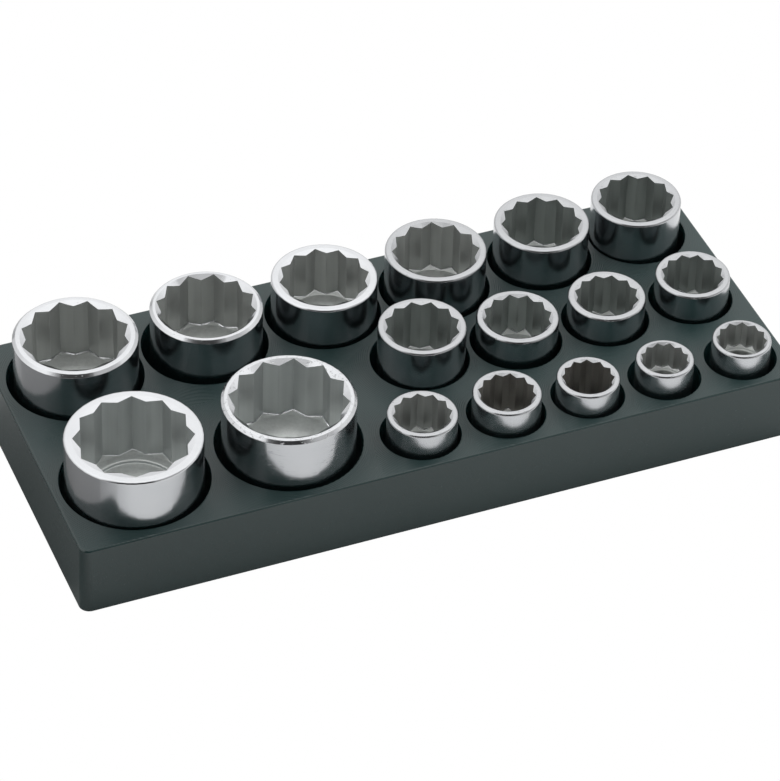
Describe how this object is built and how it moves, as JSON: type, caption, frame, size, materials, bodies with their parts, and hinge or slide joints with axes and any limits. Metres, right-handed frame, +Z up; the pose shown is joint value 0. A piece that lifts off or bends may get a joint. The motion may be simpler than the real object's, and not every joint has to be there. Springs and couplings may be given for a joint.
{
  "type": "socket tray with sockets",
  "caption": "Low rectangular plastic tray with round pockets that hold a row-by-row set of chrome twelve-point sockets for a 3/4 in square drive.",
  "frame": {"origin": "middle of the tray's underside", "axes": "+X along the tray's long side, +Y from the front row of small sockets to the back row, +Z up, out of the pockets"},
  "size_m": [0.3802, 0.1618, 0.0669],
  "materials": {
    "tray_plastic": "dark green-grey plastic, fine tool lines on the deck, satin on the sides",
    "chrome": "polished chrome outside, satin broached walls inside"
  },
  "bodies": {
    "tray": {"tray": "tray_plastic"},
    "socket_back_1": {"socket_back_1": "chrome"},
    "socket_back_2": {"socket_back_2": "chrome"},
    "socket_back_3": {"socket_back_3": "chrome"},
    "socket_back_4": {"socket_back_4": "chrome"},
    "socket_back_5": {"socket_back_5": "chrome"},
    "socket_back_6": {"socket_back_6": "chrome"},
    "socket_middle_1": {"socket_middle_1": "chrome"},
    "socket_middle_2": {"socket_middle_2": "chrome"},
    "socket_middle_3": {"socket_middle_3": "chrome"},
    "socket_middle_4": {"socket_middle_4": "chrome"},
    "socket_front_1": {"socket_front_1": "chrome"},
    "socket_front_2": {"socket_front_2": "chrome"},
    "socket_front_3": {"socket_front_3": "chrome"},
    "socket_front_4": {"socket_front_4": "chrome"},
    "socket_front_5": {"socket_front_5": "chrome"},
    "socket_front_6": {"socket_front_6": "chrome"},
    "socket_front_7": {"socket_front_7": "chrome"}
  },
  "joints": [
    {"name": "lift_back_1", "type": "slide", "parent": "tray", "child": "socket_back_1", "axis": [0, 0, 1], "range_m": [0, 0.075]},
    {"name": "lift_back_2", "type": "slide", "parent": "tray", "child": "socket_back_2", "axis": [0, 0, 1], "range_m": [0, 0.075]},
    {"name": "lift_back_3", "type": "slide", "parent": "tray", "child": "socket_back_3", "axis": [0, 0, 1], "range_m": [0, 0.075]},
    {"name": "lift_back_4", "type": "slide", "parent": "tray", "child": "socket_back_4", "axis": [0, 0, 1], "range_m": [0, 0.075]},
    {"name": "lift_back_5", "type": "slide", "parent": "tray", "child": "socket_back_5", "axis": [0, 0, 1], "range_m": [0, 0.075]},
    {"name": "lift_back_6", "type": "slide", "parent": "tray", "child": "socket_back_6", "axis": [0, 0, 1], "range_m": [0, 0.075]},
    {"name": "lift_middle_1", "type": "slide", "parent": "tray", "child": "socket_middle_1", "axis": [0, 0, 1], "range_m": [0, 0.075]},
    {"name": "lift_middle_2", "type": "slide", "parent": "tray", "child": "socket_middle_2", "axis": [0, 0, 1], "range_m": [0, 0.075]},
    {"name": "lift_middle_3", "type": "slide", "parent": "tray", "child": "socket_middle_3", "axis": [0, 0, 1], "range_m": [0, 0.075]},
    {"name": "lift_middle_4", "type": "slide", "parent": "tray", "child": "socket_middle_4", "axis": [0, 0, 1], "range_m": [0, 0.075]},
    {"name": "lift_front_1", "type": "slide", "parent": "tray", "child": "socket_front_1", "axis": [0, 0, 1], "range_m": [0, 0.075]},
    {"name": "lift_front_2", "type": "slide", "parent": "tray", "child": "socket_front_2", "axis": [0, 0, 1], "range_m": [0, 0.075]},
    {"name": "lift_front_3", "type": "slide", "parent": "tray", "child": "socket_front_3", "axis": [0, 0, 1], "range_m": [0, 0.075]},
    {"name": "lift_front_4", "type": "slide", "parent": "tray", "child": "socket_front_4", "axis": [0, 0, 1], "range_m": [0, 0.075]},
    {"name": "lift_front_5", "type": "slide", "parent": "tray", "child": "socket_front_5", "axis": [0, 0, 1], "range_m": [0, 0.075]},
    {"name": "lift_front_6", "type": "slide", "parent": "tray", "child": "socket_front_6", "axis": [0, 0, 1], "range_m": [0, 0.075]},
    {"name": "lift_front_7", "type": "slide", "parent": "tray", "child": "socket_front_7", "axis": [0, 0, 1], "range_m": [0, 0.075]}
  ]
}
